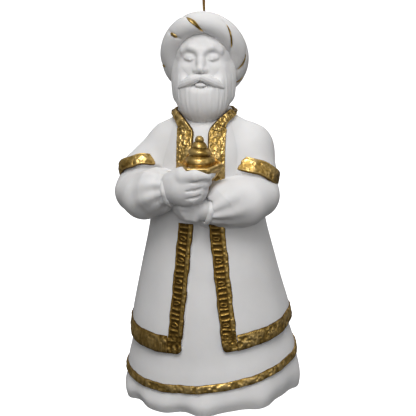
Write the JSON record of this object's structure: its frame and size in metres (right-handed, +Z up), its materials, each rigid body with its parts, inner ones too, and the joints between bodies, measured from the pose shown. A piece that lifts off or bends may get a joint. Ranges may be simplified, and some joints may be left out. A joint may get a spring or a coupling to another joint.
{
  "type": "hanging porcelain bell",
  "caption": "Hanging bisque bell shaped as a robed, turbaned figure with gilt trims, hung on a metallic cord loop, with a ball clapper on a wire inside.",
  "frame": {"origin": "top of the hanging cord loop, where a hook holds it", "axes": "+Z up along the cord, the figure faces -Y, and its left hand is at +X"},
  "size_m": [0.052, 0.052, 0.161],
  "materials": {
    "bisque_porcelain": "unglazed matte bisque",
    "ball_porcelain": "unglazed matte bisque",
    "antique_gilt": "fired antique gold lustre on relief porcelain",
    "brass": "drawn",
    "metallic_cord": "twisted metallic thread"
  },
  "bodies": {
    "hanger": {"hanging_loop": "metallic_cord"},
    "bell": {"inner_cord": "metallic_cord", "neck_washer": "brass", "cord_knot": "metallic_cord", "bell_shell": "bisque_porcelain", "under_robe": "bisque_porcelain", "coat": "bisque_porcelain", "robe_hem_trim": "antique_gilt", "coat_hem_trim": "antique_gilt", "front_trim_left": "antique_gilt", "front_trim_right": "antique_gilt", "lapel_trim_left": "antique_gilt", "lapel_trim_right": "antique_gilt", "collar_trim": "antique_gilt", "coat_sleeve_left": "bisque_porcelain", "coat_sleeve_right": "bisque_porcelain", "armband_left": "antique_gilt", "armband_right": "antique_gilt", "puffed_sleeve_left": "bisque_porcelain", "puffed_sleeve_right": "bisque_porcelain", "wrist_cuff_left": "bisque_porcelain", "wrist_cuff_right": "bisque_porcelain", "hand_left": "bisque_porcelain", "hand_right": "bisque_porcelain", "casket_body": "antique_gilt", "casket_lid": "antique_gilt", "casket_finial": "antique_gilt", "head": "bisque_porcelain", "beard": "bisque_porcelain", "moustache": "bisque_porcelain", "turban_roll": "bisque_porcelain", "turban_crown": "bisque_porcelain", "turban_gilding": "antique_gilt"},
    "cord_tail": {"tail_loop": "metallic_cord"},
    "clapper": {"clapper_wire": "brass", "clapper_ball": "ball_porcelain"}
  },
  "joints": [
    {"name": "bell_swing", "type": "hinge", "parent": "hanger", "child": "bell", "pos_m": [0, 0, -0.048], "axis": [0, 1, 0], "range_deg": [-25, 25]},
    {"name": "clapper_twist", "type": "hinge", "parent": "bell", "child": "cord_tail", "pos_m": [0, -0.00574, -0.0877], "axis": [0, 0, 1], "continuous": true},
    {"name": "clapper_swing", "type": "hinge", "parent": "cord_tail", "child": "clapper", "pos_m": [0, -0.00574, -0.0886], "axis": [0, 1, 0], "range_deg": [-14.9, 14.9]}
  ]
}
